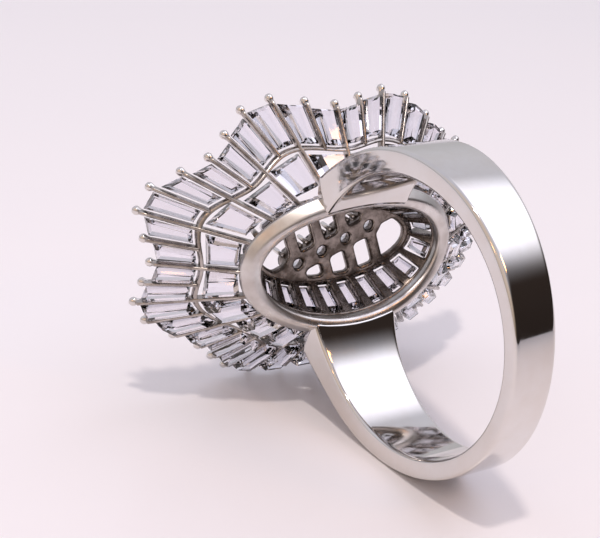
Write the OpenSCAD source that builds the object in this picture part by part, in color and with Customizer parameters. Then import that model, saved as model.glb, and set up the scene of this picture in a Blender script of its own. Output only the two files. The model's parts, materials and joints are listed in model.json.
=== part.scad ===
// Cocktail ring in the ballerina form, in millimetres.
// The hoop lies on its side with the head's long axis along X, as it is put down on a table.
// Everything is drawn standing, with the finger along X and the head on top, and is then laid down.

/* [Hoop] */
// Radius of the finger hole
finger_r = 8.6; // [8.2:0.1:9]
// Width of the band at the shoulders
shoulder_width = 5.9; // [5:0.1:6.4]
// Width of the band under the finger
band_width = 3; // [2.4:0.1:4]
// Thickness of the band at the shoulders
shoulder_thick = 1.95; // [1.7:0.05:2.2]
// Thickness of the band under the finger
band_thick = 1; // [0.9:0.05:1.3]

/* [Back] */
// Half length of the opening in the back
opening_a = 6.8; // [6.6:0.1:7]
// Half width of the opening in the back
opening_b = 3.8; // [3.7:0.1:3.9]
// Width of the rim that sits on the finger
rim_width = 1.3; // [1.1:0.1:1.5]
// Half length of the pierced plate behind the middle stones
plate_a = 5.9; // [5.7:0.1:6]
// Half width of the pierced plate
plate_b = 2.45; // [2.4:0.05:2.6]
// Width of the windows in the sloping wall
window_width = 1; // [0.9:0.05:1.05]
// Radius of the round holes in the plate
back_hole_r = 0.35; // [0.3:0.05:0.5]

/* [Skirt] */
// Half length of the skirt at its claws
skirt_a = 13.4; // [13:0.1:13.8]
// Half width of the skirt at its claws
skirt_b = 9.8; // [9.4:0.05:9.9]
// Number of baguettes round the skirt, twice the number round the gallery
skirt_count = 40; // [32:8:40]
// Number of waves round the skirt
wave_count = 8; // [6:2:8]
// How far the edge swings in and out, as a share of its radius
wave_out = 0.05; // [0:0.01:0.06]
// How far the edge swings up and down
wave_up = 0.6; // [0:0.1:0.8]
// Width of the bars between the baguettes
bar_width = 0.36; // [0.3:0.02:0.42]
// Radius of the claws on the bars' ends
claw_r = 0.36; // [0.3:0.02:0.38]

/* [Middle] */
// Diameter of the round brilliants in the middle row
brilliant_d = 1.8; // [1.7:0.05:1.8]
// Distance from one brilliant to the next
brilliant_pitch = 1.9; // [1.9:0.05:1.95]
// How far the middle row is turned from the head's long axis
row_turn = 21; // [15:1:24]

/* [Hidden] */
// Roundness of true circles
$fn = 48;
// Clear space between a stone and the metal
gap = 0.05;
// How far a cut runs past what it cuts, and a fine one past its face
cut_past = 1;
cut_over = 0.01;
// Heights above the middle of the finger hole
rim_top = 9.4;
band_top = 8.4;
plate_low = 11;
plate_high = 11.5;
collet_high = 12.1;
skirt_in_z = 8.9;
skirt_out_z = 13.3;
// Sides of the polygons that stand for the ovals and for the hoop's circles
oval_sides = 80;
hoop_sides = 120;

// Rim: a lip on the finger, then a bevel out to its edge. It keeps its height over the finger
lip_h = 0.7;
lip_width = 0.5;
lip_sink = 0.3;
rim_edge = 0.25;
rim_over = 0.1;

// Hoop: its outside is a circle set off towards the head, so the band thins smoothly
hoop_outer_r = finger_r + (shoulder_thick + band_thick) / 2;
hoop_shift = (shoulder_thick - band_thick) / 2;
hoop_reach = 14;
width_slope = (shoulder_width - band_width) / (4 * finger_r);
mean_half_width = (shoulder_width + band_width) / 4;

// Sloping wall of the back, from the rim in to the plate
wall_thick = 0.45;
window_count = skirt_count / 2;
window_from = 0.07;
window_to = 0.95;
flank_rib_h = 0.75;
rib_sink = 0.4;
flank_from = 0.23;
flank_to = 0.97;
flank_lift = 0.85;

// Fins and baguettes of the skirt run from the opening, at reach 0, to the claws, at reach 1
foot_reach = 0.03;
rail_reach = 0.5475;
rail_half = 0.018;
rail_drop = 0.05;
rail_h = 0.4;
fin_h = 0.55;
fin_top = 0.12;
fin_past = 0.09;
inner_from = 0.225;
inner_to = 0.476;
outer_from = 0.572;
outer_to = 0.93;

// Cut of the baguettes: heights over and under the girdle and how far the steps come in. Those
// of the belly and of the flat back come in by a share of the half width and by an end inset
crown_h = 0.3;
crown_inset = 0.3;
mid_h = 0.17;
mid_inset = 0.12;
girdle_h = 0.1;
inner_depth = 0.85;
outer_depth = 0.75;
flank_depth = 0.55;
belly_share = 0.6;
belly_side = 0.2;
belly_end = 0.2;
back_side = 0.55;
back_end = 0.45;

// Middle row: a collet for each brilliant, joined to the wall by ribs
row_count = 4;
collet_r = brilliant_d / 2 + 0.1;
seat_r = 0.93 * brilliant_d / 2;
seat_h = 0.45;
stone_lift = 0.12;
strip_half = 0.8;
rib_width = 0.85;
plate_rim = 0.3;
prong_r = 0.17;
prong_h = 0.65;
prong_angle = 52;

// The laid-down ring rests on the hoop and on the skirt's lower claws
claw_points = [for (k = [0 : skirt_count - 1]) tip_point(k / skirt_count, 1)];
rest_z = max(hoop_outer_r, max([for (point = claw_points) point.y]) + claw_r);
back_y = hoop_outer_r - hoop_shift;
front_y = max([for (point = claw_points) point.z]) + claw_r;
rest_y = (front_y - back_y) / 2;

// Arc lengths round an oval, as rows of length and angle
function oval_arcs(a, b) =
    let (step = 3)
    [for (k = 0, s = 0; k <= 360 / step;
          s = s + norm([a * (cos((k + 1) * step) - cos(k * step)),
                        b * (sin((k + 1) * step) - sin(k * step))]),
          k = k + 1) [s, k * step]];

root_arcs = oval_arcs(opening_a, opening_b);

// Angle at a share of the way round the opening
function root_angle(share) =
    let (turns = floor(share),
         whole = root_arcs[len(root_arcs) - 1][0])
    turns * 360 + lookup((share - turns) * whole, root_arcs);

function oval_point(a, b, z, angle) = [a * cos(angle), b * sin(angle), z];

function oval(a, b) = [for (k = [0 : oval_sides - 1])
    [a * cos(360 * k / oval_sides), b * sin(360 * k / oval_sides)]];

// Point under a claw; swing 0 leaves the waves out
function tip_point(share, swing) =
    let (wave = -swing * cos(wave_count * 360 * share),
         grow = 1 + wave_out * wave)
    oval_point(skirt_a * grow, skirt_b * grow, skirt_out_z + wave_up * wave, 360 * share);

function between(p, q, part) = p + (q - p) * part;

// Point of the skirt's cone; swing 0 leaves the waves out
function skirt_point(reach, share, swing = 1) =
    between(oval_point(opening_a, opening_b, skirt_in_z, root_angle(share)),
            tip_point(share, swing), reach);

// Height of the finger at a distance across it
function finger_z(across) = sqrt(finger_r * finger_r - across * across);

// Height at which the wall starts from the rim: a lip over the finger
function wall_low(angle) = min(finger_z(opening_b * sin(angle)) + lip_h, rim_top - rim_over);

// Point of the back's sloping wall, from the rim at rise 0 to the plate at rise 1
function wall_point(rise, share) =
    let (angle = root_angle(share))
    between(oval_point(opening_a, opening_b, wall_low(angle), angle),
            oval_point(plate_a, plate_b, plate_low, angle), rise);

function unit(v) = v / norm(v);

// Axes of a piece: along it, across it and out of its face
function axes_of(along, across) =
    let (x = unit(along), z = unit(cross(x, across)))
    [x, cross(z, x), z];

// Axes of the sloping wall: up the slope, round it and out of its front
function wall_axes(share) =
    let (step = 0.002)
    axes_of(wall_point(1, share) - wall_point(0, share),
            wall_point(0.5, share - step) - wall_point(0.5, share + step));

function wall_normal(share) = wall_axes(share)[2];

// Half width that a piece through c and along its own length has between fins at p and q
function half_room(c, p, q, along) =
    let (way = unit([along.x, along.y, 0]),
         to_p = [p.x - c.x, p.y - c.y, 0],
         to_q = [q.x - c.x, q.y - c.y, 0])
    min(norm(cross(to_p, way)), norm(cross(to_q, way))) - bar_width / 2 - gap;

// Sets a piece that is drawn along X at a point and in given axes
module stand(at, axes) {
    multmatrix([[axes[0].x, axes[1].x, axes[2].x, at.x],
                [axes[0].y, axes[1].y, axes[2].y, at.y],
                [axes[0].z, axes[1].z, axes[2].z, at.z]])
        children();
}

// Lays the standing ring down on its side
module lay_down() {
    translate([0, rest_y, rest_z])
        rotate([90, 0, 0])
            children();
}

// Closes rings of points, each counterclockwise from above, into one skin with flat ends
module skin(rings) {
    sides = len(rings[0]);
    count = len(rings);
    polyhedron(
        points = [for (ring = rings) each ring],
        faces = concat(
            [[for (k = [0 : sides - 1]) k]],
            [for (r = [0 : count - 2], k = [0 : sides - 1])
                [r * sides + k, (r + 1) * sides + k,
                 (r + 1) * sides + (k + 1) % sides, r * sides + (k + 1) % sides]],
            [[for (k = [sides - 1 : -1 : 0]) (count - 1) * sides + k]]));
}

// How far a line leans along a piece for each step across it
function lean(line, axes) = (line * axes[0]) / (line * axes[1]);

// Tapered baguette in step cut, from x = 0 to its length: half widths and leans of its two ends.
// Each level is a height, how far the sides come in and how far the ends come in
module baguette(length, w0, w1, lean0, lean1, depth) {
    slope = (w1 - w0) / length;
    middle = (w0 + w1) / 2;
    levels = [[-depth, middle * back_side, back_end],
              [-depth * belly_share, middle * belly_side, belly_end],
              [-girdle_h, 0, 0],
              [0, 0, 0],
              [mid_h, mid_inset, mid_inset],
              [crown_h, crown_inset, crown_inset]];
    skin([for (level = levels)
        let (from = level[2],
             to = length - level[2],
             half_from = w0 + slope * from - level[1],
             half_to = w0 + slope * to - level[1])
        [[from - lean0 * half_from, -half_from, level[0]],
         [to - lean1 * half_to, -half_to, level[0]],
         [to + lean1 * half_to, half_to, level[0]],
         [from + lean0 * half_from, half_from, level[0]]]]);
}

// Round brilliant, its girdle at z = 0. Each ring of corners is a share of the radius out and
// up; the stars and the belly lie where the kites between their neighbours are flat
module brilliant(d) {
    r = d / 2;
    table_out = 0.56;
    table_up = 0.32;
    star_out = 0.8;
    belly_out = 0.3;
    girdle_up = 0.04;
    culet_down = 0.86;
    slope_above = (table_up - girdle_up) / (1 - table_out);
    slope_below = culet_down - girdle_up;
    star_up = girdle_up + (1 - star_out * cos(22.5)) * slope_above;
    belly_up = -culet_down + belly_out * cos(22.5) * slope_below;
    function corner(out, up, turn) = r * [out * cos(turn), out * sin(turn), up];
    table = [for (k = [0 : 7]) corner(table_out, table_up, 45 * k)];
    star = [for (k = [0 : 7]) corner(star_out, star_up, 45 * k + 22.5)];
    upper = [for (k = [0 : 15]) corner(1, girdle_up, 22.5 * k)];
    lower = [for (k = [0 : 15]) corner(1, -girdle_up, 22.5 * k)];
    belly = [for (k = [0 : 7]) corner(belly_out, belly_up, 45 * k + 22.5)];
    tip = [corner(0, -culet_down, 0)];
    // Where each ring of points starts in the joined list
    s = 8;
    u = 16;
    l = 32;
    b = 48;
    c = 56;
    polyhedron(
        points = concat(table, star, upper, lower, belly, tip),
        faces = concat(
            [[for (k = [7 : -1 : 0]) k]],
            [for (k = [0 : 7]) [k, (k + 1) % 8, s + k]],
            [for (k = [0 : 7]) [k, s + k, u + 2 * k]],
            [for (k = [0 : 7]) [k, u + 2 * k, s + (k + 7) % 8]],
            [for (k = [0 : 7]) [s + k, u + 2 * k + 1, u + 2 * k]],
            [for (k = [0 : 7]) [s + k, u + (2 * k + 2) % 16, u + 2 * k + 1]],
            [for (k = [0 : 15]) [u + k, u + (k + 1) % 16, l + (k + 1) % 16, l + k]],
            [for (k = [0 : 7]) [l + 2 * k, l + 2 * k + 1, b + k]],
            [for (k = [0 : 7]) [l + 2 * k + 1, l + (2 * k + 2) % 16, b + k]],
            [for (k = [0 : 7]) [l + 2 * k, b + k, c]],
            [for (k = [0 : 7]) [l + (2 * k + 2) % 16, c, b + k]]));
}

// Band of the hoop: thick and wide at the shoulders, thin and narrow below
module band() {
    low_half = mean_half_width - width_slope * hoop_reach;
    high_half = mean_half_width + width_slope * hoop_reach;
    intersection() {
        translate([0, 0, hoop_shift])
            rotate([0, 90, 0])
                cylinder(h = 2 * hoop_reach, r = hoop_outer_r, center = true, $fn = hoop_sides);
        rotate([90, 0, 0])
            linear_extrude(2 * hoop_reach, center = true)
                polygon([[-low_half, -hoop_reach], [low_half, -hoop_reach],
                         [high_half, hoop_reach], [-high_half, hoop_reach]]);
        translate([-hoop_reach, -hoop_reach, -hoop_reach])
            cube([2 * hoop_reach, 2 * hoop_reach, hoop_reach + band_top]);
    }
}

// Closed hoop whose section's corners run along the given rings of points
module closed_hoop(rings) {
    sides = len(rings[0]);
    corners = len(rings);
    polyhedron(
        points = [for (ring = rings) each ring],
        faces = [for (r = [0 : corners - 1], k = [0 : sides - 1])
            let (next = (r + 1) % corners, turn = (k + 1) % sides)
            [r * sides + k, next * sides + k, next * sides + turn, r * sides + turn]]);
}

// One ring of the rim's corners: how far out from the opening, and a height by the angle
function rim_ring(out, height) = [for (k = [0 : oval_sides - 1])
    let (angle = 360 * k / oval_sides)
    oval_point(opening_a + out, opening_b + out, height(angle), angle)];

// Rim on the finger: its lip is cut to the finger afterwards, its bevel faces the back
module rim() {
    top = function(angle) wall_low(angle) + rim_over;
    edge = function(angle) top(angle) - rim_edge;
    lip = function(angle) finger_z((opening_b + lip_width) * sin(angle)) - lip_sink;
    foot = function(angle) finger_z(opening_b * sin(angle)) - lip_sink;
    closed_hoop([rim_ring(0, foot), rim_ring(lip_width, lip), rim_ring(rim_width, edge),
                 rim_ring(rim_width, top), rim_ring(0, top)]);
}

// Sloping wall between rim and plate, of even thickness
module sloping_shell() {
    shares = [for (k = [0 : oval_sides - 1]) k / oval_sides];
    closed_hoop([
        [for (q = shares) wall_point(0, q)],
        [for (q = shares) wall_point(0, q) + wall_thick * wall_normal(q)],
        [for (q = shares) wall_point(1, q) + wall_thick * wall_normal(q)],
        [for (q = shares) wall_point(1, q)]]);
}

// Sloping wall between rim and plate, its windows and the ribs between the flank stones
module back_wall() {
    difference() {
        union() {
            sloping_shell();
            for (k = [0 : window_count - 1])
                let (share = k / window_count,
                     length = norm(wall_point(1, share) - wall_point(0, share)))
                stand(wall_point(0, share), wall_axes(share))
                    translate([0, -bar_width / 2, wall_thick - rib_sink])
                        cube([length, bar_width, flank_rib_h + rib_sink]);
        }
        for (k = [0 : window_count - 1])
            let (share = (k + 0.5) / window_count,
                 length = norm(wall_point(1, share) - wall_point(0, share)))
            stand(wall_point(0, share), wall_axes(share))
                translate([length * window_from, -window_width / 2, -cut_past])
                    cube([length * (window_to - window_from), window_width, 2 * cut_past]);
    }
}

// Fins from the rim out to the claws: every other one starts at the middle rail
module fins() {
    for (k = [0 : skirt_count - 1])
        let (share = k / skirt_count,
             root = skirt_point(0, share),
             tip = skirt_point(1, share),
             turn = atan2(tip.y - root.y, tip.x - root.x),
             tip_d = norm([tip.x - root.x, tip.y - root.y]),
             start = k % 2 == 0 ? foot_reach : rail_reach,
             from = start * tip_d,
             from_z = root.z + start * (tip.z - root.z)) {
            translate([root.x, root.y, 0])
                rotate([90, 0, turn])
                    linear_extrude(bar_width, center = true)
                        polygon([[from, from_z + fin_top], [tip_d + fin_past, tip.z + fin_top],
                                 [tip_d + fin_past, tip.z - fin_h], [from, from_z - fin_h]]);
            translate(tip)
                rotate([0, 0, turn])
                    sphere(claw_r);
        }
}

// Wavy rail between the inner and the outer row of the skirt
module middle_rail() {
    shares = [for (k = [0 : oval_sides - 1]) k / oval_sides];
    top = [0, 0, -rail_drop];
    foot = [0, 0, -rail_drop - rail_h];
    closed_hoop([
        [for (q = shares) skirt_point(rail_reach - rail_half, q) + foot],
        [for (q = shares) skirt_point(rail_reach + rail_half, q) + foot],
        [for (q = shares) skirt_point(rail_reach + rail_half, q) + top],
        [for (q = shares) skirt_point(rail_reach - rail_half, q) + top]]);
}

// Distance of a stone of the middle row along its axis
function row_place(number) = (number - (row_count + 1) / 2) * brilliant_pitch;

// Pierced plate behind the middle row: an oval frame, and under the row a strip with cross ribs
module plate_web() {
    reach = row_place(row_count);
    linear_extrude(plate_high - plate_low)
        intersection() {
            polygon(oval(plate_a, plate_b));
            rotate(-row_turn)
                union() {
                    square([2 * plate_a, rib_width], center = true);
                    square([2 * reach, 2 * strip_half], center = true);
                    for (number = [1 : row_count])
                        translate([row_place(number), 0])
                            square([rib_width, 4 * plate_b], center = true);
                }
        }
    linear_extrude(plate_high - plate_low)
        difference() {
            polygon(oval(plate_a + wall_thick, plate_b + wall_thick));
            polygon(oval(plate_a - plate_rim, plate_b - plate_rim));
        }
}

// The plate with the collets and prongs that hold the middle row
module middle_plate() {
    difference() {
        union() {
            translate([0, 0, plate_low])
                plate_web();
            rotate(-row_turn)
                for (number = [1 : row_count])
                    translate([row_place(number), 0, 0]) {
                        translate([0, 0, plate_low])
                            cylinder(h = collet_high - plate_low, r = collet_r);
                        for (k = [0 : 3])
                            translate([0, 0, plate_high])
                                rotate(k * 90 + (k % 2 == 0 ? prong_angle : 90 - prong_angle))
                                    translate([brilliant_d / 2 + gap + prong_r, 0, 0])
                                        cylinder(h = collet_high - plate_high + prong_h,
                                                 r = prong_r);
                    }
        }
        rotate(-row_turn)
            for (number = [1 : row_count])
                translate([row_place(number), 0, 0]) {
                    translate([0, 0, plate_low - cut_past])
                        cylinder(h = collet_high - plate_low + 2 * cut_past, r = back_hole_r);
                    translate([0, 0, collet_high - seat_h])
                        cylinder(h = seat_h + cut_over, r1 = back_hole_r, r2 = seat_r);
                }
    }
}

// All the soldered metal in one piece
module ring_mount() {
    color([0.86, 0.86, 0.85])
        lay_down()
            difference() {
                union() {
                    difference() {
                        union() {
                            band();
                            rim();
                        }
                        linear_extrude(2 * finger_r)
                            polygon(oval(opening_a, opening_b));
                    }
                    back_wall();
                    fins();
                    middle_rail();
                    middle_plate();
                }
                rotate([0, 90, 0])
                    cylinder(h = 2 * (hoop_reach + cut_past), r = finger_r, center = true,
                             $fn = hoop_sides);
            }
}

// One row of baguettes on the skirt's cone, their tables to the front
module skirt_row(count, from_reach, to_reach, depth) {
    for (k = [0 : count - 1])
        let (share = (k + 0.5) / count,
             before = k / count,
             after = (k + 1) / count,
             from = skirt_point(from_reach, share),
             to = skirt_point(to_reach, share),
             middle = (from_reach + to_reach) / 2,
             axes = axes_of(to - from, skirt_point(middle, after) - skirt_point(middle, before)),
             from_left = skirt_point(from_reach, before),
             from_right = skirt_point(from_reach, after),
             to_left = skirt_point(to_reach, before),
             to_right = skirt_point(to_reach, after))
        stand(from, axes)
            baguette(norm(to - from),
                     half_room(from, from_left, from_right, to - from),
                     half_room(to, to_left, to_right, to - from),
                     lean(from_right - from_left, axes),
                     lean(to_right - to_left, axes),
                     depth);
}

// Outer row of the skirt, under the claws
module outer_baguettes() {
    color([0.78, 0.88, 0.95])
        lay_down()
            skirt_row(skirt_count, outer_from, outer_to, outer_depth);
}

// Inner row of the skirt, half as many and wider
module inner_baguettes() {
    color([0.7, 0.82, 0.93])
        lay_down()
            skirt_row(window_count, inner_from, inner_to, inner_depth);
}

// Baguettes on the flank of the middle, over the windows of the back
module flank_baguettes() {
    color([0.62, 0.78, 0.9])
        lay_down()
            for (k = [0 : window_count - 1])
                let (share = (k + 0.5) / window_count,
                     before = k / window_count,
                     after = (k + 1) / window_count,
                     axes = wall_axes(share),
                     from = wall_point(flank_from, share),
                     to = wall_point(flank_to, share),
                     from_left = wall_point(flank_from, before),
                     from_right = wall_point(flank_from, after),
                     to_left = wall_point(flank_to, before),
                     to_right = wall_point(flank_to, after))
                stand(from + flank_lift * axes[2], axes)
                    baguette(norm(to - from),
                             half_room(from, from_left, from_right, to - from),
                             half_room(to, to_left, to_right, to - from),
                             lean(from_right - from_left, axes),
                             lean(to_right - to_left, axes),
                             flank_depth);
}

// Round brilliant of the middle row, counted from -X
module middle_brilliant(number) {
    color([0.85, 0.92, 0.97])
        lay_down()
            rotate(-row_turn)
                translate([row_place(number), 0, collet_high + stone_lift])
                    brilliant(brilliant_d);
}

ring_mount();
outer_baguettes();
inner_baguettes();
flank_baguettes();
middle_brilliant(1);  // middle_brilliant_1
middle_brilliant(2);  // middle_brilliant_2
middle_brilliant(3);  // middle_brilliant_3
middle_brilliant(4);  // middle_brilliant_4
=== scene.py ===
import json
import math

import bmesh
import bpy
import numpy as np
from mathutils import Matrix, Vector


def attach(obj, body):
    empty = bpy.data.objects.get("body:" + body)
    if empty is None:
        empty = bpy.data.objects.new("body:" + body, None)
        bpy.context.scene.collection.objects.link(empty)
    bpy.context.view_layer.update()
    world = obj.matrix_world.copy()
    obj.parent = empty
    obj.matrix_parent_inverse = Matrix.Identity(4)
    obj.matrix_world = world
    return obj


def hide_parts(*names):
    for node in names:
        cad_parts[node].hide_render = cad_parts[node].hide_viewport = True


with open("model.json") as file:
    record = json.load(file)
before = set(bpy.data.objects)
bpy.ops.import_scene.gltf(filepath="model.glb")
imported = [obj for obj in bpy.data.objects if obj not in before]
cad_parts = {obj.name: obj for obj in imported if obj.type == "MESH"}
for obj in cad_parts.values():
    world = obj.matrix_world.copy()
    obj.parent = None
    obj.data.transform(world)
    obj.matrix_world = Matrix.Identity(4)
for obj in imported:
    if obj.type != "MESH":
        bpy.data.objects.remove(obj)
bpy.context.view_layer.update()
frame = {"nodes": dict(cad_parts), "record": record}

# Camera. The ring lies on its side and is seen from behind its head, through the hoop.
# The view stands a hand's width away, a little above the table, and is tipped by a few degrees.
MM = 0.001
BORE = frame["record"]["mounts"][0]
HOLE_Y, HOLE_Z = (value / MM for value in BORE["pos_m"][1:])
FINGER_R = BORE["dims"]["r_mm"]
VIEW_AZIMUTH, VIEW_HEIGHT, VIEW_ROLL = (math.radians(a) for a in (147.5, 23.8, 5.08))
VIEW_DISTANCE = 79.13
LENS, FILM = 79.1, 36.0


def laid(points):
    """Points of the standing ring in mm, laid down in metres: x stays, up turns to -Y and across to +Z."""
    x, y, z = np.moveaxis(np.asarray(points, float), -1, 0)
    return np.stack([x, HOLE_Y - z, HOLE_Z + y], -1) * MM


def photo_camera():
    """Camera on a sphere about a point of the finger hole, turned about its own axis by the roll."""
    ca, sa = math.cos(VIEW_AZIMUTH), math.sin(VIEW_AZIMUTH)
    ch, sh = math.cos(VIEW_HEIGHT), math.sin(VIEW_HEIGHT)
    back = np.array([sa * ch, -ca * ch, sh])
    level = np.array([ca, sa, 0.0])
    rise = np.cross(back, level)
    right = math.cos(VIEW_ROLL) * level + math.sin(VIEW_ROLL) * rise
    up = np.cross(back, right)
    aim = laid([6.38, 1.79, 4.98])
    place = aim + back * VIEW_DISTANCE * MM
    data = bpy.data.cameras.new("photo_camera")
    data.lens, data.sensor_width = LENS, FILM
    data.clip_start, data.clip_end = 1 * MM, 10.0
    camera = bpy.data.objects.new("photo_camera", data)
    matrix = np.eye(4)
    matrix[:3, :3] = np.stack([right, up, back], 1)
    matrix[:3, 3] = place
    camera.matrix_world = matrix.T.tolist()
    bpy.context.scene.collection.objects.link(camera)
    return camera


bpy.context.scene.camera = photo_camera()


# Hoop: a cast band of 18-karat white gold, thin and narrow under the finger, thick and wide at
# the shoulders, where it is soldered to the rim of the head. Its faces are mirror polished and
# the polishing wheel has taken the edges off.
HOOP_OUTER_R, HOOP_SHIFT = 10.075, 0.475
MEAN_HALF_WIDTH, WIDTH_SLOPE = 2.225, 0.0843
SHOULDER_Z, SHOULDER_Y, SHOULDER_ANGLE = 8.4, 4.7, math.radians(36.4)
FLARE, FLARE_FROM = 0.45, 5.6
OPENING = np.array([6.8, 3.8])
LIP_SOFT = 0.3
HOOP_STEPS, HOOP_SOFT = 240, 0.32
CORNER_STEPS = 7
WELD = 0.0005


def softened(corners, soft, steps=CORNER_STEPS):
    """Each corner C of closed polygons becomes a quadratic curve that starts and ends soft from C:
    (1-t)^2 A + 2t(1-t) C + t^2 B, with A and B on the sides that meet in C."""
    before = np.roll(corners, 1, -2) - corners
    after = np.roll(corners, -1, -2) - corners
    length_before = np.linalg.norm(before, axis=-1, keepdims=True) + 1e-9
    length_after = np.linalg.norm(after, axis=-1, keepdims=True) + 1e-9
    reach = np.minimum(soft, 0.49 * np.minimum(length_before, length_after))
    start = (corners + before / length_before * reach)[..., None, :]
    end = (corners + after / length_after * reach)[..., None, :]
    t = np.linspace(0, 1, steps + 1)[:, None]
    curve = (1 - t) ** 2 * start + 2 * t * (1 - t) * corners[..., None, :] + t**2 * end
    return curve.reshape(*corners.shape[:-2], -1, 3)


def grid_faces(rows, cols, wrap_rows=False, wrap_cols=True):
    """Quads between neighbours of a rows by cols grid of points, numbered row by row."""
    r, c = np.meshgrid(np.arange(rows if wrap_rows else rows - 1),
                       np.arange(cols if wrap_cols else cols - 1), indexing="ij")
    r1, c1 = (r + 1) % rows, (c + 1) % cols
    return np.stack([r * cols + c, r * cols + c1, r1 * cols + c1, r1 * cols + c], -1).reshape(-1, 4)


def repeated(faces, points_each, count):
    """The same faces for count copies of a shape whose points follow each other."""
    return (faces[None] + points_each * np.arange(count)[:, None, None]).reshape(-1, faces.shape[1])


def new_piece(name, points, faces, material, smooth=True):
    """Mesh object from laid-down points and faces, riding on the ring's one body."""
    mesh = bpy.data.meshes.new(name)
    mesh.from_pydata(np.asarray(points, float).reshape(-1, 3).tolist(), [], faces.tolist())
    mesh.polygons.foreach_set("use_smooth", np.full(len(mesh.polygons), smooth))
    mesh.materials.append(material)
    welded = bmesh.new()
    welded.from_mesh(mesh)
    bmesh.ops.remove_doubles(welded, verts=welded.verts, dist=WELD * MM)
    welded.to_mesh(mesh)
    welded.free()
    piece = bpy.data.objects.new(name, mesh)
    bpy.context.scene.collection.objects.link(piece)
    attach(piece, "root")
    return piece


def colour(hex_value):
    """sRGB hex to linear RGBA."""
    srgb = np.array([int(hex_value[k:k + 2], 16) for k in (1, 3, 5)]) / 255
    linear = np.where(srgb <= 0.04045, srgb / 12.92, ((srgb + 0.055) / 1.055) ** 2.4)
    return (*linear.tolist(), 1.0)


def add_node(tree, kind, settings=None, inputs=None):
    """A node with its settings; an input takes a value, or a link from another node's output."""
    node = tree.nodes.new(kind)
    for key, value in (settings or {}).items():
        setattr(node, key, value)
    for key, value in (inputs or {}).items():
        if isinstance(value, bpy.types.NodeSocket):
            tree.links.new(value, node.inputs[key])
        else:
            node.inputs[key].default_value = value
    return node


def new_material(name):
    """Empty node material with its output; returns the material and its tree."""
    material = bpy.data.materials.new(name)
    material.use_nodes = True
    material.node_tree.nodes.clear()
    return material, material.node_tree


def polished_gold(name, bright, dull, patch_mm, rough_low, rough_high, scratch):
    """White gold, cast and finished: colour and roughness drift from bright to dull in soft patches
    of the given width, and wheel marks run as hairlines about 0.05 mm apart."""
    material, tree = new_material(name)
    place = add_node(tree, "ShaderNodeTexCoord").outputs["Object"]
    patch = add_node(tree, "ShaderNodeTexNoise", {"noise_dimensions": "3D"},
                     {"Vector": place, "Scale": 1 / (patch_mm * MM), "Detail": 3.0, "Roughness": 0.6})
    lines = add_node(tree, "ShaderNodeMapping", {},
                     {"Vector": place, "Scale": (1 / (0.05 * MM), 1 / (1.2 * MM), 1 / (1.2 * MM))})
    hair = add_node(tree, "ShaderNodeTexNoise", {"noise_dimensions": "3D"},
                    {"Vector": lines.outputs[0], "Scale": 1.0, "Detail": 2.0, "Roughness": 0.5})
    rough = add_node(tree, "ShaderNodeMapRange", {},
                     {"Value": patch.outputs["Fac"], "From Min": 0.3, "From Max": 0.7,
                      "To Min": rough_low, "To Max": rough_high})
    worn = add_node(tree, "ShaderNodeMapRange", {},
                    {"Value": patch.outputs["Fac"], "From Min": 0.35, "From Max": 0.65})
    tint = add_node(tree, "ShaderNodeMix", {"data_type": "RGBA"},
                    {"Factor": worn.outputs["Result"], "A": colour(bright), "B": colour(dull)})
    bump = add_node(tree, "ShaderNodeBump", {},
                    {"Strength": scratch, "Distance": 0.01 * MM, "Height": hair.outputs["Fac"]})
    shader = add_node(tree, "ShaderNodeBsdfPrincipled", {},
                      {"Base Color": tint.outputs["Result"], "Metallic": 1.0,
                       "Roughness": rough.outputs["Result"], "Normal": bump.outputs["Normal"]})
    add_node(tree, "ShaderNodeOutputMaterial", {}, {"Surface": shader.outputs[0]})
    return material


# Mirror polish: the band shows the room with only a faint haze along the wheel marks.
MIRROR_GOLD = polished_gold("white_gold_mirror_polished", "#DEDBD8", "#DAD5D0", 2.0, 0.04, 0.1,
                            0.05)


def hoop_points():
    """Round the finger by angle t from the head: inner radius constant, outer circle set off towards
    the head, half width mean + slope * height; a soft-cornered section at each step. The inner
    face ends along the lip's oval, y = b sqrt(1 - (x / a)^2), the outer face at the shoulder's
    height, and two last rows at each end close it off flat. Near the head the sides flare by the
    square of the height, into the solder of the rim."""
    side = np.array([-1, -1, 1, 1, 0.7, 0.35, 0, -0.35, -0.7])
    inner = np.array([1, 0, 0, 1, 1, 1, 1, 1, 1], bool)
    lip_a, lip_b = OPENING + LIP_SOFT
    end_x = side * (MEAN_HALF_WIDTH + WIDTH_SLOPE * FINGER_R)
    lip_end = np.arcsin(lip_b * np.sqrt(1 - (end_x / lip_a) ** 2) / FINGER_R)
    t = math.pi + np.linspace(-1, 1, HOOP_STEPS)[:, None] * (
        math.pi - np.where(inner, lip_end, SHOULDER_ANGLE))
    outer = HOOP_SHIFT * np.cos(t) + np.sqrt(HOOP_OUTER_R**2 - (HOOP_SHIFT * np.sin(t)) ** 2)
    radius = np.where(inner, FINGER_R, outer)
    y, z = radius * np.sin(t), radius * np.cos(t)
    cap = np.stack([np.where(inner, SHOULDER_Y, y[0]), np.full(len(side), y[0, 1])])
    y = np.concatenate([cap[::-1], y, -cap])
    z = np.concatenate([np.full_like(cap, SHOULDER_Z), z, np.full_like(cap, SHOULDER_Z)])
    flare = np.clip((z - FLARE_FROM) / (SHOULDER_Z - FLARE_FROM), 0, 1) ** 2
    half = MEAN_HALF_WIDTH + WIDTH_SLOPE * z + FLARE * flare
    half[[0, -1]] = 0
    return softened(np.stack([side * half, y, z], -1), HOOP_SOFT)


hoop_grid = hoop_points()
hoop = new_piece("hoop", laid(hoop_grid), grid_faces(*hoop_grid.shape[:2]), MIRROR_GOLD)
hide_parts("ring_mount")


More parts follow.
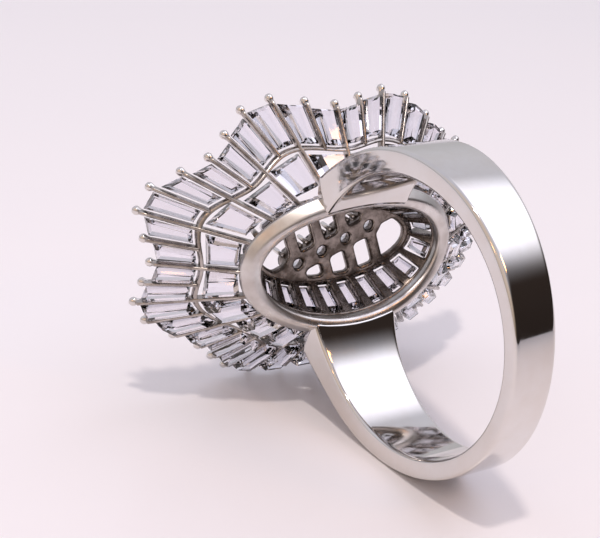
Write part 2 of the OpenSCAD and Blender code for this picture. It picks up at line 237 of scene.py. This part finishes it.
# Rim of the head: an oval collar round the open back, soldered on the hoop. Its lip is hollowed
# to the finger and rounded over, and from the lip a bevel runs out to a thin edge.
WALL_LOW_MAX, LIP_H, LIP_WIDTH, LIP_SINK = 9.3, 0.7, 0.5, 0.3
RIM_WIDTH, RIM_EDGE, RIM_OVER = 1.3, 0.25, 0.1
RIM_STEPS = 200


def oval(radii, angle):
    """x = a cos(angle), y = b sin(angle); radii may differ from place to place."""
    return np.stack([radii[..., 0] * np.cos(angle), radii[..., 1] * np.sin(angle)], -1)


def finger_z(y):
    """Height of the finger's cylinder: z = sqrt(finger^2 - y^2), a hair over the hoop's face."""
    return np.sqrt((FINGER_R + 0.01) ** 2 - y**2)


def wall_low(angle):
    """The wall starts a lip's height over the finger, and level near the ends of the oval."""
    return np.minimum(finger_z(OPENING[1] * np.sin(angle)) + LIP_H, WALL_LOW_MAX)


def rim_points():
    """Five corners at each angle: the lip on the finger, the bevel's end on the finger, the edge's
    foot and top, and the top of the inside. The bevel's line meets the finger's cylinder where
    (y + p dy)^2 + (z + p dz)^2 = finger^2."""
    angle = np.linspace(2 * math.pi, 0, RIM_STEPS, endpoint=False)
    top = wall_low(angle) + RIM_OVER
    y = (OPENING[1] + LIP_WIDTH) * np.sin(angle)
    z = finger_z(y) - LIP_SINK
    dy = (RIM_WIDTH - LIP_WIDTH) * np.sin(angle)
    dz = top - RIM_EDGE - z
    a, b, c = dy**2 + dz**2, y * dy + z * dz, y**2 + z**2 - finger_z(0) ** 2
    p = (-b + np.sqrt(b**2 - a * c)) / a
    out = np.stack([0 * p, LIP_WIDTH + p * (RIM_WIDTH - LIP_WIDTH), RIM_WIDTH + 0 * p,
                    RIM_WIDTH + 0 * p, 0 * p], 1)
    height = np.stack([finger_z(OPENING[1] * np.sin(angle)), z + p * dz, top - RIM_EDGE, top, top], 1)
    flat = oval(OPENING + out[..., None], angle[:, None])
    return softened(np.concatenate([flat, height[..., None]], -1), LIP_SOFT)


# Satin finish: the wheel doesn't reach into the opening, so the lip is brushed to a soft grey.
SATIN_GOLD = polished_gold("white_gold_satin", "#DCD9D6", "#C6C0BB", 1.5, 0.26, 0.36, 0.1)

rim_grid = rim_points()
rim = new_piece("back_rim", laid(rim_grid), grid_faces(*rim_grid.shape[:2], wrap_rows=True),
                SATIN_GOLD)


# Wall of the back: a strip of sheet that slopes in from the rim to the plate, sawn through in
# a window behind each stone of the flank. It is tumbled, not wheel polished, and its darker colour is
# painted shade of the head's hollow back.
PLATE = np.array([5.9, 2.45])
PLATE_LOW, WALL_THICK = 11.0, 0.45
WINDOWS, WINDOW_WIDTH, WINDOW_RISE = 20, 0.92, (0.07, 0.95)
WALL_ROWS = np.array([-0.04, 0.035, 0.07, 0.2, 0.5, 0.8, 0.95, 0.975, 1.0])
ARC_STEPS = 1440

# Tumbled finish with painted shade: a dull grey that shifts in soft patches, since the beads reach in
# unevenly. Its dark colour is painted shade and dark reflection of the head's hollow back, with some
# tarnish.
TUMBLED_AND_SHADED_GOLD = polished_gold("white_gold_tumbled_painted_shade", "#978E88", "#5F5751", 0.7, 0.18, 0.34, 0.15)


def arc_angle(share):
    """Angle whose arc from angle 0, along the opening's oval, is that share of its whole length."""
    angle = np.linspace(0, 2 * math.pi, ARC_STEPS + 1)
    steps = np.linalg.norm(np.diff(oval(OPENING, angle), axis=0), axis=1)
    arc = np.concatenate([[0], np.cumsum(steps)]) / steps.sum()
    turns = np.floor(share)
    return 2 * math.pi * turns + np.interp(share - turns, arc, angle)


def wall_point(rise, share):
    """From the opening's oval at the rim, rise 0, straight to the plate's oval, rise 1."""
    rise, share = np.broadcast_arrays(rise, share)
    angle = arc_angle(share)
    radii = OPENING + (PLATE - OPENING) * rise[..., None]
    z = wall_low(angle) + (PLATE_LOW - wall_low(angle)) * rise
    return np.concatenate([oval(radii, angle), z[..., None]], -1)


def unit(v):
    """v divided by its length."""
    return v / np.linalg.norm(v, axis=-1, keepdims=True)


def wall_grid():
    """Rows up the slope, the first sunk in the rim, and, in each of the windows' pitches, columns
    that keep to the window's even width: its edges lie half a window each side of the pitch's
    middle."""
    pitch = np.arange(WINDOWS)[None] / WINDOWS
    rise = WALL_ROWS[:, None]
    wide = np.linalg.norm(wall_point(rise, pitch + 1 / WINDOWS) - wall_point(rise, pitch), axis=-1)
    edge = 0.5 - 0.5 * WINDOW_WIDTH / wide[..., None]
    part = np.array([0, 0.5, 1, 1, 1, 1, 1, 1.5])
    inside = np.array([0, 0, 0, 0.2, 0.5, 0.8, 1, 1])
    column = edge * part + (1 - 2 * edge) * inside
    share = (pitch[..., None] + column / WINDOWS).reshape(len(WALL_ROWS), -1)
    return wall_point(rise, share)


def window_faces(rows, columns_each):
    """Faces of the wall's grid without those that lie in a window."""
    faces = grid_faces(rows, columns_each * WINDOWS)
    row, column = np.divmod(np.arange(len(faces)), columns_each * WINDOWS)
    column = column % columns_each
    low, high = (int(np.argmin(abs(WALL_ROWS - v))) for v in WINDOW_RISE)
    opened = (row >= low) & (row < high) & (column >= 2) & (column < columns_each - 2)
    return faces[~opened]


wall_points = wall_grid()
wall = new_piece("back_wall", laid(wall_points),
                 window_faces(len(WALL_ROWS), wall_points.shape[1] // WINDOWS), TUMBLED_AND_SHADED_GOLD)
thicken = wall.modifiers.new("sheet", "SOLIDIFY")
thicken.thickness, thicken.offset = WALL_THICK * MM, 1.0
smooth = wall.modifiers.new("filed", "SUBSURF")
smooth.levels = smooth.render_levels = 2


# Skirt: forty fins run out from the rim on a flaring cone and end in claws. Every other one
# starts at the wavy rail between the two rows of stones. They are cast bars, rounded by
# polishing, and each claw is the bar's end, beaded over the corners of two stones.
SKIRT = np.array([13.4, 9.8])
SKIRT_IN_Z, SKIRT_OUT_Z = 8.9, 13.3
FINS, WAVES, WAVE_OUT, WAVE_UP = 40, 8, 0.05, 0.6
BAR_WIDTH, BAR_FOOT, CLAW_R = 0.36, 0.2, 0.36
FOOT, RAIL, RAIL_HALF = 0.05, 0.5475, 0.018
FIN_TOP, FIN_H = 0.12, 0.55
RAIL_DROP, RAIL_H = 0.05, 0.4


def skirt_point(reach, share):
    """Straight from the opening's oval, reach 0, to the claws' wavy oval, reach 1. The claws' oval
    grows and rises by the wave -cos(waves * angle)."""
    reach, share = np.broadcast_arrays(reach, share)
    angle = 2 * math.pi * share
    wave = -np.cos(WAVES * angle)
    tip = oval(SKIRT * (1 + WAVE_OUT * wave[..., None]), angle)
    tip = np.concatenate([tip, (SKIRT_OUT_Z + WAVE_UP * wave)[..., None]], -1)
    root = oval(OPENING, arc_angle(share))
    root = np.concatenate([root, np.full_like(share, SKIRT_IN_Z, dtype=float)[..., None]], -1)
    return root + (tip - root) * reach[..., None]


def across_to(along):
    """Level direction square to each bar."""
    return unit(np.cross([0, 0, 1.0], along))


def fin_points(start, share):
    """Bars from reach start to the claw: an upright section with soft corners that narrows to its
    foot, drawn in to a rounded nose over the first and last stations."""
    station = np.array([0, 0.004, 0.02, 0.05, 0.5, 0.95, 0.985, 1.0])
    swell = np.array([0.0, 0.55, 0.9, 1, 1, 1, 1, 0.0])
    path = skirt_point(start + (1 - start) * station[:, None], share)
    side = across_to(path[-1] - path[0])[None] / 2
    up = np.array([0, 0, 1.0])
    middle = path + up * (FIN_TOP - FIN_H) / 2
    tall = up * (FIN_TOP + FIN_H) / 2
    s = swell[:, None, None]
    corners = np.stack([middle + (side * a + tall * b) * s for a, b in
                        ((BAR_WIDTH, 1), (-BAR_WIDTH, 1), (-BAR_FOOT, -1), (BAR_FOOT, -1))], -2)
    return np.moveaxis(softened(corners, 0.17, 4), 1, 0)


def bars(name, points, material):
    """One piece from count bars: rows along each, closed at both ends by their last rows."""
    count, rows, cols = points.shape[:3]
    piece = new_piece(name, laid(points), repeated(grid_faces(rows, cols), rows * cols, count),
                      material)
    return piece


whole_share = np.arange(0, FINS, 2) / FINS
short_share = np.arange(1, FINS, 2) / FINS
fin_grid = np.concatenate([fin_points(FOOT, whole_share),
                           fin_points(RAIL, short_share)])
# Cast finish: between the stones no brush reaches, and the metal stays grey and a little rough.
CAST_GOLD = polished_gold("white_gold_as_cast", "#C4BEB9", "#9A928C", 1.0, 0.2, 0.32, 0.12)
bars("skirt_bars", fin_grid, CAST_GOLD)


CLAW_STEPS = 16
CLAW_BACK, CLAW_LOW = 0.15, 0.02


def claw_points(share):
    """A wire's bent end: its middle runs from the bar's last part over the tip and curls in by a
    quarter turn, its radius swelling to the claw's and closing as a dome, sqrt(1 - u^2)."""
    out = skirt_point(1.0, share)
    along = unit(out - skirt_point(0.9, share))
    across = across_to(along)
    lift = np.cross(along, across)
    lift = lift * np.sign(lift[:, 2:])
    bend = np.array([-1.0, -0.98, -0.5, 0.0, 0.35, 0.6, 0.8, 0.93, 1.0])
    turn = np.clip(bend, 0, 1) * math.radians(75)
    curl = CLAW_R * 0.62
    forward = np.where(bend < 0, bend * CLAW_R, curl * np.sin(turn))
    upward = np.where(bend < 0, 0, curl * (1 - np.cos(turn)))
    radius = CLAW_R * np.array([0.0, 0.46, 0.56, 0.8, 0.84, 0.78, 0.6, 0.34, 0.0])
    heading = np.where(bend < 0, 0, turn)[:, None, None]
    middle = out + along * (forward - CLAW_BACK)[:, None, None]
    middle = middle + lift * (upward - CLAW_LOW)[:, None, None]
    normal = lift * np.cos(heading) - along * np.sin(heading)
    round_it = np.linspace(0, 2 * math.pi, CLAW_STEPS, endpoint=False)[:, None]
    r = radius[:, None, None, None]
    ring = across[None, :, None] * np.cos(round_it) + normal[:, :, None] * np.sin(round_it)
    return np.moveaxis(middle[:, :, None] + r * ring, 1, 0)


bars("skirt_claws", claw_points(np.arange(FINS) / FINS), MIRROR_GOLD)


def rail_points():
    """Closed wavy path between the rows, with a soft-cornered upright section."""
    share = np.linspace(0, 1, 320, endpoint=False)
    corner = [(RAIL - RAIL_HALF, 0), (RAIL + RAIL_HALF, 0), (RAIL + RAIL_HALF, 1),
              (RAIL - RAIL_HALF, 1)]
    down = np.array([0, 0, -1.0])
    corners = np.stack([skirt_point(reach, share) + down * (RAIL_DROP + low * RAIL_H)
                        for reach, low in corner], -2)
    return softened(corners, 0.12, 4)


rail_grid = rail_points()
rail = new_piece("skirt_rail", laid(rail_grid), grid_faces(*rail_grid.shape[:2], wrap_rows=True),
                 CAST_GOLD)


# Middle: a pierced plate that closes the back, cast with the four collets and their prongs.
# The row of collets lies across the oval at a slant. Around it the plate is open, and each collet
# has a round hole under its stone. Being cast and only tumbled inside, its corners are all soft.
PLATE_HIGH, COLLET_HIGH = 11.5, 12.1
ROW, ROW_TURN = (np.arange(4) - 1.5) * 1.9, math.radians(-21)
BRILLIANT_R, COLLET_R, HOLE_R, SEAT_R = 0.9, 1.0, 0.35, 0.837
SEAT_H, STRIP_HALF, RIB_WIDTH, PLATE_RIM = 0.45, 0.8, 0.85, 0.3
PRONG_R, PRONG_TOP, PRONG_GAP = 0.17, 12.75, 0.05
PRONG_ANGLES = np.radians([52, 128, 232, 308])


def turned(profile, centres, steps=48):
    """Closed profile of radius and height, carried once round each centre's upright axis."""
    turn = np.linspace(0, 2 * math.pi, steps, endpoint=False)[:, None]
    r, z = np.asarray(profile, float).T
    shape = np.stack([r * np.cos(turn), r * np.sin(turn), z * np.ones_like(turn)], -1)
    return centres[:, None, None] + shape[None]


def slanted(points):
    """Points of the row, drawn along X, turned about the head's middle to the row's slant."""
    x, y, z = np.moveaxis(points, -1, 0)
    c, s = math.cos(ROW_TURN), math.sin(ROW_TURN)
    return np.stack([x * c - y * s, x * s + y * c, z], -1)


def row_centres():
    """Level centres of the stones, before the row is slanted."""
    return np.stack([ROW, np.zeros_like(ROW), np.zeros_like(ROW)], -1)


def to_frame(x, way):
    """Distance from a place of the row, along its x or y way, to the frame's oval: the root s > 0
    of |(start + s way) / radii|^2 = 1."""
    start, line = slanted(np.array([[x, 0, 0], [*way, 0]], float))[:, :2] / PLATE
    a, b, c = line @ line, start @ line, start @ start - 1
    return (-b + math.sqrt(b * b - a * c)) / a


def box_points(x0, x1, y0, y1):
    """Block of the plate's height between two stations of x and of y."""
    return np.array([[[x, y, z] for x, y in ((x0, y0), (x1, y0), (x1, y1), (x0, y1))]
                     for z in (PLATE_LOW, PLATE_HIGH)], float)


def joined(shapes):
    """Points and faces of several shapes, (points, faces) each, as one list of each."""
    starts = np.cumsum([0] + [points.size // 3 for points, _ in shapes])
    points = np.concatenate([points.reshape(-1, 3) for points, _ in shapes])
    faces = np.concatenate([faces + start for (_, faces), start in zip(shapes, starts)])
    return points, faces


def plate_shapes():
    """Oval frame, a rib from each end of the row, webs between the collets and a rib to each side
    of each, all as far as the frame."""
    angle = np.linspace(0, 2 * math.pi, RIM_STEPS, endpoint=False)[:, None]
    width = np.array([-PLATE_RIM, WALL_THICK, WALL_THICK, -PLATE_RIM])[None, :, None]
    flat = oval(PLATE + width, angle)
    z = np.array([PLATE_LOW, PLATE_LOW, PLATE_HIGH, PLATE_HIGH]) * np.ones_like(angle)
    frame_ring = np.concatenate([flat, z[..., None]], -1)
    shapes = [(frame_ring, grid_faces(RIM_STEPS, 4, wrap_rows=True))]
    profile = [(HOLE_R, PLATE_LOW), (COLLET_R, PLATE_LOW), (COLLET_R, COLLET_HIGH),
               (SEAT_R, COLLET_HIGH), (HOLE_R, COLLET_HIGH - SEAT_H)]
    for collet in turned(profile, row_centres()):
        shapes.append((slanted(collet), grid_faces(*collet.shape[:2], wrap_rows=True)))
    into, wide = 0.85 * COLLET_R, RIB_WIDTH / 2
    boxes = [box_points(-to_frame(0, (-1, 0)), ROW[0] - into, -wide, wide),
             box_points(ROW[-1] + into, to_frame(0, (1, 0)), -wide, wide)]
    for x in ROW:
        boxes += [box_points(x - wide, x + wide, into, to_frame(x, (0, 1))),
                  box_points(x - wide, x + wide, -to_frame(x, (0, -1)), -into)]
    for x in (ROW[1:] + ROW[:-1]) / 2:
        boxes.append(box_points(x - 0.5 * COLLET_R, x + 0.5 * COLLET_R, -STRIP_HALF, STRIP_HALF))
    sides = np.concatenate([grid_faces(2, 4), [[3, 2, 1, 0], [4, 5, 6, 7]]])
    return shapes + [(slanted(box), sides) for box in boxes]


plate_points, plate_faces = joined(plate_shapes())
# The plate takes the tumbled white gold, darkened with painted shade of the hollow back.
plate = new_piece("pierced_plate", laid(plate_points), plate_faces, TUMBLED_AND_SHADED_GOLD)
fused = plate.modifiers.new("cast_in_one", "REMESH")
fused.mode, fused.voxel_size, fused.use_smooth_shade = "VOXEL", 0.08 * MM, True
eased = plate.modifiers.new("tumbled", "SMOOTH")
eased.factor, eased.iterations = 0.5, 20


# Prongs: four round wires soldered to each collet, their ends rounded with a cup bur over the
# stone's edge.
def prong_points():
    """Turned profile from a round end down to the plate, at four angles round each stone."""
    reach = BRILLIANT_R + PRONG_GAP + PRONG_R
    spots = slanted(row_centres()[:, None] + reach * np.stack(
        [np.cos(PRONG_ANGLES), np.sin(PRONG_ANGLES), np.zeros(4)], -1)[None])
    nose = np.linspace(math.pi / 2, 0, 7)
    profile = [(PRONG_R * math.cos(a), PRONG_TOP - PRONG_R + PRONG_R * math.sin(a)) for a in nose]
    profile += [(PRONG_R, PLATE_HIGH), (0, PLATE_HIGH)]
    return turned(profile, spots.reshape(-1, 3), 20)


prong_grid = prong_points()
count, rows, cols = prong_grid.shape[:3]
prongs = new_piece("stone_prongs", laid(prong_grid),
                   repeated(grid_faces(rows, cols, wrap_rows=True, wrap_cols=False),
                            rows * cols, count), MIRROR_GOLD)


# Bars of the flank: square wires of white gold, soldered up the front of the sloping wall between
# its stones. They are tumbled with the wall and as dark, with the same painted shade.
FLANK_BAR_H = 0.75


def wall_axes(share):
    """Up the slope, round it and out of its front, as rows of unit vectors."""
    up = unit(wall_point(1.0, share) - wall_point(0.0, share))
    step = 0.002
    round_it = wall_point(0.5, share - step) - wall_point(0.5, share + step)
    out = unit(np.cross(up, round_it))
    return np.stack([up, np.cross(out, up), out], -2)


def flank_bar_points(share):
    """Upright bars along the slope, soft cornered, each closed by drawing in its end rows."""
    station = np.array([0.0, 0.002, 0.03, 0.5, 0.97, 0.998, 1.0])
    swell = np.array([0, 0.85, 1, 1, 1, 0.85, 0])[:, None, None]
    up, across, out = np.moveaxis(wall_axes(share), -2, 0)
    path = wall_point(station[:, None], share)
    low, high = 0.05, WALL_THICK + FLANK_BAR_H
    middle = path + out * (low + high) / 2
    corners = np.stack([middle + (across * a * BAR_WIDTH / 2 + out * b * (high - low) / 2) * swell
                        for a, b in ((-1, -1), (1, -1), (1, 1), (-1, 1))], -2)
    return np.moveaxis(softened(corners, 0.15, 4), 1, 0)


bars("flank_bars", flank_bar_points(np.arange(WINDOWS) / WINDOWS), TUMBLED_AND_SHADED_GOLD)


# Baguettes: tapered crystals in step cut, their tables to the front. Seen from behind they show
# the long steps of the pavilion, which end in a flat back. The outer row sits under the claws,
# the inner row and the flank's row are half as many and wider.
GAP = 0.03
CROWN_H, CROWN_INSET, MID_H, MID_INSET, GIRDLE_H = 0.3, 0.3, 0.17, 0.12, 0.1
BELLY_STEPS = ((1.0, 0.4, 0.22), (0.6, 0.15, 0.12), (0.35, 0.06, 0.06))


def step_cut(at, axes, length, half_from, half_to, lean_from, lean_to, depth):
    """Rings of four corners at each level. Each level's outline is the girdle's, its sides moved in
    by one distance and its ends by another: a corner is where two moved lines meet."""
    outline = np.stack([np.stack([-lean_from * half_from, -half_from], -1),
                        np.stack([length - lean_to * half_to, -half_to], -1),
                        np.stack([length + lean_to * half_to, half_to], -1),
                        np.stack([lean_from * half_from, half_from], -1)], 1)
    edge = unit(np.roll(outline, -1, 1) - outline)
    inward = np.stack([-edge[..., 1], edge[..., 0]], -1)
    offset = (inward * outline).sum(-1)
    mean = (half_from + half_to) / 2
    levels = [(-down * depth, side * mean, end) for down, side, end in BELLY_STEPS]
    levels += [(-GIRDLE_H, 0 * mean, 0), (0, 0 * mean, 0),
               (MID_H, MID_INSET + 0 * mean, MID_INSET),
               (CROWN_H, CROWN_INSET + 0 * mean, CROWN_INSET)]
    rings = []
    for z, side, end in levels:
        moved = offset + np.stack([side, end + 0 * side, side, end + 0 * side], -1)
        n0, n1 = np.roll(inward, 1, 1), inward
        c0, c1 = np.roll(moved, 1, 1), moved
        det = n0[..., 0] * n1[..., 1] - n0[..., 1] * n1[..., 0]
        x = (c0 * n1[..., 1] - c1 * n0[..., 1]) / det
        y = (n0[..., 0] * c1 - n1[..., 0] * c0) / det
        local = np.stack([x, y, np.full_like(x, z)], -1)
        rings.append(at[:, None] + np.einsum("nkc,ncd->nkd", local, axes))
    return np.stack(rings, 1)


def half_room(centre, left, right, along):
    """Half width that a stone has at a point between the bars at left and right."""
    way = unit(along[:, :2])
    room = [abs((p - centre)[:, 0] * way[:, 1] - (p - centre)[:, 1] * way[:, 0])
            for p in (left, right)]
    return np.minimum(*room) - BAR_WIDTH / 2 - GAP


def lean(line, axes):
    """How far a line leans along a stone for each step across it."""
    return (line * axes[:, 0]).sum(-1) / (line * axes[:, 1]).sum(-1)


def stone_row(name, surface, axes_at, count, low, high, lift, depth):
    """Stones between the bars of a surface, from its station low to its station high."""
    share = (np.arange(count) + 0.5) / count
    before, after = share - 0.5 / count, share + 0.5 / count
    start, end = surface(low, share), surface(high, share)
    axes = axes_at(share)
    start_line = surface(low, before), surface(low, after)
    end_line = surface(high, before), surface(high, after)
    points = step_cut(start + lift * axes[:, 2], axes, np.linalg.norm(end - start, axis=-1),
                      half_room(start, *start_line, end - start),
                      half_room(end, *end_line, end - start),
                      lean(start_line[1] - start_line[0], axes),
                      lean(end_line[1] - end_line[0], axes), depth)
    rows = points.shape[1]
    ends = np.array([[3, 2, 1, 0], [4 * rows - 4, 4 * rows - 3, 4 * rows - 2, 4 * rows - 1]])
    faces = np.concatenate([repeated(grid_faces(rows, 4), 4 * rows, count),
                            repeated(ends, 4 * rows, count)])
    piece = new_piece(name, laid(points), faces, BAGUETTE_CRYSTAL, smooth=False)
    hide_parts(name.replace("_stones", "_baguettes"))
    return piece


def skirt_axes(low, high, count):
    """Axes of the skirt's stones: out along the cone, round it and out of its front."""
    def at(share):
        along = unit(skirt_point(high, share) - skirt_point(low, share))
        middle = (low + high) / 2
        across = skirt_point(middle, share + 0.5 / count) - skirt_point(middle, share - 0.5 / count)
        out = unit(np.cross(along, across))
        return np.stack([along, np.cross(out, along), out], -2)
    return at


def crystal(name, hex_value, haze):
    """Clear cut stone of high refraction. Its polish is a mirror's with a faint haze in patches of
    half a millimetre, and a trace of colour in the body."""
    material, tree = new_material(name)
    place = add_node(tree, "ShaderNodeTexCoord").outputs["Object"]
    patch = add_node(tree, "ShaderNodeTexNoise", {"noise_dimensions": "3D"},
                     {"Vector": place, "Scale": 1 / (0.5 * MM), "Detail": 2.0})
    rough = add_node(tree, "ShaderNodeMapRange", {},
                     {"Value": patch.outputs["Fac"], "From Min": 0.35, "From Max": 0.7,
                      "To Min": 0.0, "To Max": haze})
    shader = add_node(tree, "ShaderNodeBsdfPrincipled", {},
                      {"Base Color": colour(hex_value), "Roughness": rough.outputs["Result"],
                       "IOR": 1.77, "Transmission Weight": 1.0})
    add_node(tree, "ShaderNodeOutputMaterial", {}, {"Surface": shader.outputs[0]})
    return material


BAGUETTE_CRYSTAL = crystal("step_cut_crystal", "#F6F4FB", 0.05)
INNER, OUTER, FLANK = (0.192, 0.476), (0.572, 0.93), (0.23, 0.97)
stone_row("outer_stones", skirt_point, skirt_axes(*OUTER, FINS), FINS, *OUTER, lift=0, depth=0.75)
stone_row("inner_stones", skirt_point, skirt_axes(*INNER, WINDOWS), WINDOWS, *INNER, lift=0,
          depth=0.85)
stone_row("flank_stones", wall_point, wall_axes, WINDOWS, *FLANK, lift=0.85, depth=0.55)


# Brilliants of the middle row: round stones, brilliant cut and polished, each held in its collet
# by four prongs. They are the part's own nodes, which keep their cut.
BRILLIANT_CRYSTAL = crystal("brilliant_cut_crystal", "#FCFBFF", 0.02)
for number in range(1, 5):
    for place in frame["nodes"][f"middle_brilliant_{number}"].material_slots:
        place.material = BRILLIANT_CRYSTAL


# Floor: a sheet of coated card, smooth, off-white and a little pink. It reaches far past the view,
# so that no edge shows.
FLOOR_SIZE = 3.2


def card(name, hex_value):
    """Coated card: matt with a weak sheen, its fibres a fine bump about 0.3 mm apart."""
    material, tree = new_material(name)
    place = add_node(tree, "ShaderNodeTexCoord").outputs["Object"]
    fibre = add_node(tree, "ShaderNodeTexNoise", {"noise_dimensions": "3D"},
                     {"Vector": place, "Scale": 1 / (0.3 * MM), "Detail": 4.0})
    cloud = add_node(tree, "ShaderNodeTexNoise", {"noise_dimensions": "3D"},
                     {"Vector": place, "Scale": 1 / (30 * MM), "Detail": 2.0})
    tint = add_node(tree, "ShaderNodeMix", {"data_type": "RGBA"},
                    {"Factor": cloud.outputs["Fac"], "A": colour(hex_value),
                     "B": colour("#F5F1F4")})
    bump = add_node(tree, "ShaderNodeBump", {},
                    {"Strength": 0.15, "Distance": 0.01 * MM, "Height": fibre.outputs["Fac"]})
    shader = add_node(tree, "ShaderNodeBsdfPrincipled", {},
                      {"Base Color": tint.outputs["Result"], "Roughness": 0.32,
                       "Normal": bump.outputs["Normal"]})
    add_node(tree, "ShaderNodeOutputMaterial", {}, {"Surface": shader.outputs[0]})
    return material


def flat_sheet(name, size, material):
    """Square about the origin, facing up."""
    mesh = bpy.data.meshes.new(name)
    s = size / 2
    mesh.from_pydata([(-s, -s, 0), (s, -s, 0), (s, s, 0), (-s, s, 0)], [], [(0, 1, 2, 3)])
    mesh.materials.append(material)
    sheet = bpy.data.objects.new(name, mesh)
    bpy.context.scene.collection.objects.link(sheet)
    return sheet


floor = flat_sheet("floor_card", FLOOR_SIZE, card("off_white_card", "#F3F0F4"))


# Light: a white room, brighter above than along the floor and dark low down at the camera's right,
# with a bright window high on that side and a warm wall at the left. One small lamp overhead throws
# the shadow, and two faint warm ones add the golden glints.
def soft_lamp(name, place, aim, size, power, hex_value):
    """Square lamp of the size in metres, turned to its aim."""
    data = bpy.data.lights.new(name, "AREA")
    data.shape, data.size = "SQUARE", size
    data.energy, data.color = power, colour(hex_value)[:3]
    lamp = bpy.data.objects.new(name, data)
    lamp.location = place
    lamp.rotation_euler = (Vector(aim) - Vector(place)).to_track_quat("-Z", "Y").to_euler()
    bpy.context.scene.collection.objects.link(lamp)
    return lamp


HEAD_AIM = (0, 0, 0.01)
soft_lamp("key_lamp", (0.055, 0.07, 0.42), HEAD_AIM, 0.025, 0.53, "#FFF1E7")
soft_lamp("warm_lamp", (-0.05, 0.08, 0.1), HEAD_AIM, 0.02, 0.01, "#FFB870")
soft_lamp("warm_side_lamp", (0.11, 0.05, 0.09), HEAD_AIM, 0.012, 0.003, "#FFB870")

world = bpy.data.worlds.new("white_room")
world.use_nodes = True
tree = world.node_tree
tree.nodes.clear()
toward = add_node(tree, "ShaderNodeTexCoord").outputs["Generated"]
height = add_node(tree, "ShaderNodeSeparateXYZ", {}, {0: toward}).outputs["Z"]
ceiling = add_node(tree, "ShaderNodeMapRange", {"interpolation_type": "SMOOTHSTEP"},
                   {"Value": height, "From Min": 0.0, "From Max": 0.5,
                    "To Min": 0.62, "To Max": 0.8})
walls = add_node(tree, "ShaderNodeMix", {"data_type": "RGBA"},
                 {"Factor": height, "A": colour("#F3F1F6"), "B": colour("#EFEFFF")})
to_dark = add_node(tree, "ShaderNodeVectorMath", {"operation": "DOT_PRODUCT"},
                   {0: toward, 1: (-0.45, 0.8, -0.75)})
dark = add_node(tree, "ShaderNodeMapRange", {"interpolation_type": "SMOOTHSTEP"},
                {"Value": to_dark.outputs["Value"], "From Min": -0.05, "From Max": 0.45})
room = add_node(tree, "ShaderNodeMix", {"data_type": "RGBA"},
                {"Factor": dark.outputs["Result"], "A": walls.outputs["Result"],
                 "B": colour("#3A312E")})
to_window = add_node(tree, "ShaderNodeVectorMath", {"operation": "DOT_PRODUCT"},
                     {0: toward, 1: (-0.58, 0.1, 0.8)})
window = add_node(tree, "ShaderNodeMapRange", {"interpolation_type": "SMOOTHSTEP"},
                  {"Value": to_window.outputs["Value"], "From Min": 0.84, "From Max": 0.98,
                   "To Min": 0.0, "To Max": 1.2})
glow = add_node(tree, "ShaderNodeMath", {"operation": "ADD"},
                {0: ceiling.outputs["Result"], 1: window.outputs["Result"]})
to_warm = add_node(tree, "ShaderNodeVectorMath", {"operation": "DOT_PRODUCT"},
                   {0: toward, 1: (0.77, 0.4, 0.5)})
warm = add_node(tree, "ShaderNodeMapRange", {"interpolation_type": "SMOOTHSTEP"},
                {"Value": to_warm.outputs["Value"], "From Min": 0.55, "From Max": 0.95,
                 "To Min": 0.0, "To Max": 0.7})
warmed = add_node(tree, "ShaderNodeMix", {"data_type": "RGBA"},
                  {"Factor": warm.outputs["Result"], "A": room.outputs["Result"],
                   "B": colour("#FFE4CC")})
sky = add_node(tree, "ShaderNodeBackground", {},
               {"Color": warmed.outputs["Result"], "Strength": glow.outputs["Value"]})
add_node(tree, "ShaderNodeOutputWorld", {}, {"Surface": sky.outputs[0]})
bpy.context.scene.world = world
bpy.context.scene.view_settings.view_transform = "Standard"
